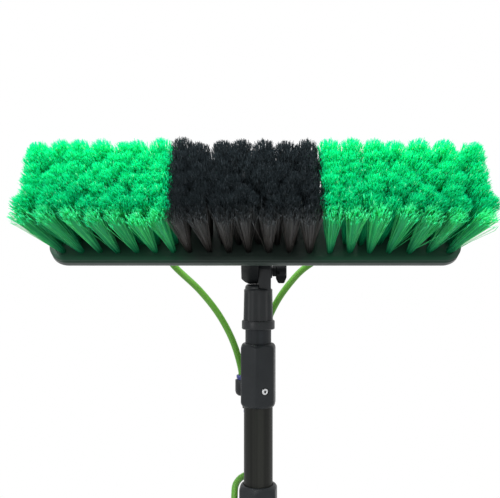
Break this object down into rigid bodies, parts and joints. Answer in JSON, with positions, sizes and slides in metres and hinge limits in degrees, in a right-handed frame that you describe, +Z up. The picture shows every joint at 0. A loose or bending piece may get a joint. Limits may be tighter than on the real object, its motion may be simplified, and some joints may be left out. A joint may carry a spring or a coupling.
{
  "type": "window cleaning pole system",
  "caption": "Telescopic water-fed window cleaning pole with twist-lock collars, a tilting brush head with green and black bristles, twin water jets and a green hose.",
  "frame": {"origin": "centre of the flat underside of the end cap at the butt of the pole", "axes": "+Z up along the pole, +X along the brush to the right as seen from the bristle side, bristles towards -Y and up"},
  "size_m": [0.3609, 0.1845, 1.1021],
  "materials": {
    "black_aluminium": "black anodised satin",
    "black_plastic": "fine matt",
    "grey_plastic": "matt",
    "gloss_plastic": "semi-gloss",
    "nozzle_plastic": "satin",
    "rubber": "matt",
    "steel": "satin",
    "brass": "satin",
    "green_nylon": "bristle",
    "black_nylon": "bristle",
    "green_hose": "translucent satin",
    "blue_plastic": "satin",
    "strap": "woven"
  },
  "bodies": {
    "base_section": {"tube_base": "black_aluminium", "collar_base": "black_plastic", "rivet_base": "steel", "grip": "rubber", "end_cap": "rubber"},
    "lower_lock": {"lock_sleeve_lower": "grey_plastic"},
    "middle_section": {"tube_middle": "black_aluminium", "collar_middle": "black_plastic", "rivet_middle": "steel", "plug_middle": "grey_plastic"},
    "upper_lock": {"lock_sleeve_upper": "grey_plastic"},
    "top_section": {"tube_top": "black_aluminium", "plug_top": "grey_plastic", "adaptor_socket": "black_plastic", "socket_screw": "steel", "y_fitting": "black_plastic", "hose_left": "green_hose", "hose_right": "green_hose", "hose_run": "green_hose", "hose_hank": "green_hose", "hose_tail": "green_hose", "hank_tie": "strap", "hose_connector": "black_plastic", "connector_nut": "grey_plastic"},
    "brush_head": {"adaptor_upper": "black_plastic", "bracket_screw_left": "steel", "bracket_screw_right": "steel", "brush_block": "gloss_plastic", "bristles_left": "green_nylon", "bristles_centre": "black_nylon", "bristles_right": "green_nylon", "jet_stem_left": "nozzle_plastic", "jet_stem_right": "nozzle_plastic", "jet_nozzle_left": "brass", "jet_nozzle_right": "brass", "pivot_bolt": "steel", "pivot_washer": "steel"},
    "nut": {"wing_nut": "black_plastic"},
    "release_left": {"collet_left": "blue_plastic"},
    "release_right": {"collet_right": "blue_plastic"},
    "release_inlet": {"collet_inlet": "blue_plastic"}
  },
  "joints": [
    {"name": "lower_slide", "type": "slide", "parent": "base_section", "child": "lower_lock", "axis": [0, 0, 1], "range_m": [0, 0.6]},
    {"name": "lower_twist", "type": "hinge", "parent": "lower_lock", "child": "middle_section", "pos_m": [0, 0, 0.0534], "axis": [0, 0, 1], "range_deg": [0, 90]},
    {"name": "upper_slide", "type": "slide", "parent": "middle_section", "child": "upper_lock", "axis": [0, 0, 1], "range_m": [0, 0.6]},
    {"name": "upper_twist", "type": "hinge", "parent": "upper_lock", "child": "top_section", "pos_m": [0, 0, 0.1154], "axis": [0, 0, 1], "range_deg": [0, 90]},
    {"name": "brush_tilt", "type": "hinge", "parent": "top_section", "child": "brush_head", "pos_m": [0, 0, 1], "axis": [1, 0, 0], "range_deg": [-60, 35], "deforming": ["hose_left", "hose_right"]},
    {"name": "wing_nut_turn", "type": "hinge", "parent": "brush_head", "child": "nut", "pos_m": [0.0193, 0, 1], "axis": [1, 0, 0], "continuous": true},
    {"name": "collet_left_press", "type": "slide", "parent": "top_section", "child": "release_left", "axis": [0, 0, -1], "range_m": [0, 0.001], "stiffness_N_per_m": 1500},
    {"name": "collet_right_press", "type": "slide", "parent": "top_section", "child": "release_right", "axis": [0, 0, -1], "range_m": [0, 0.001], "stiffness_N_per_m": 1500},
    {"name": "collet_inlet_press", "type": "slide", "parent": "top_section", "child": "release_inlet", "axis": [0, 0, 1], "range_m": [0, 0.001], "stiffness_N_per_m": 1500}
  ]
}
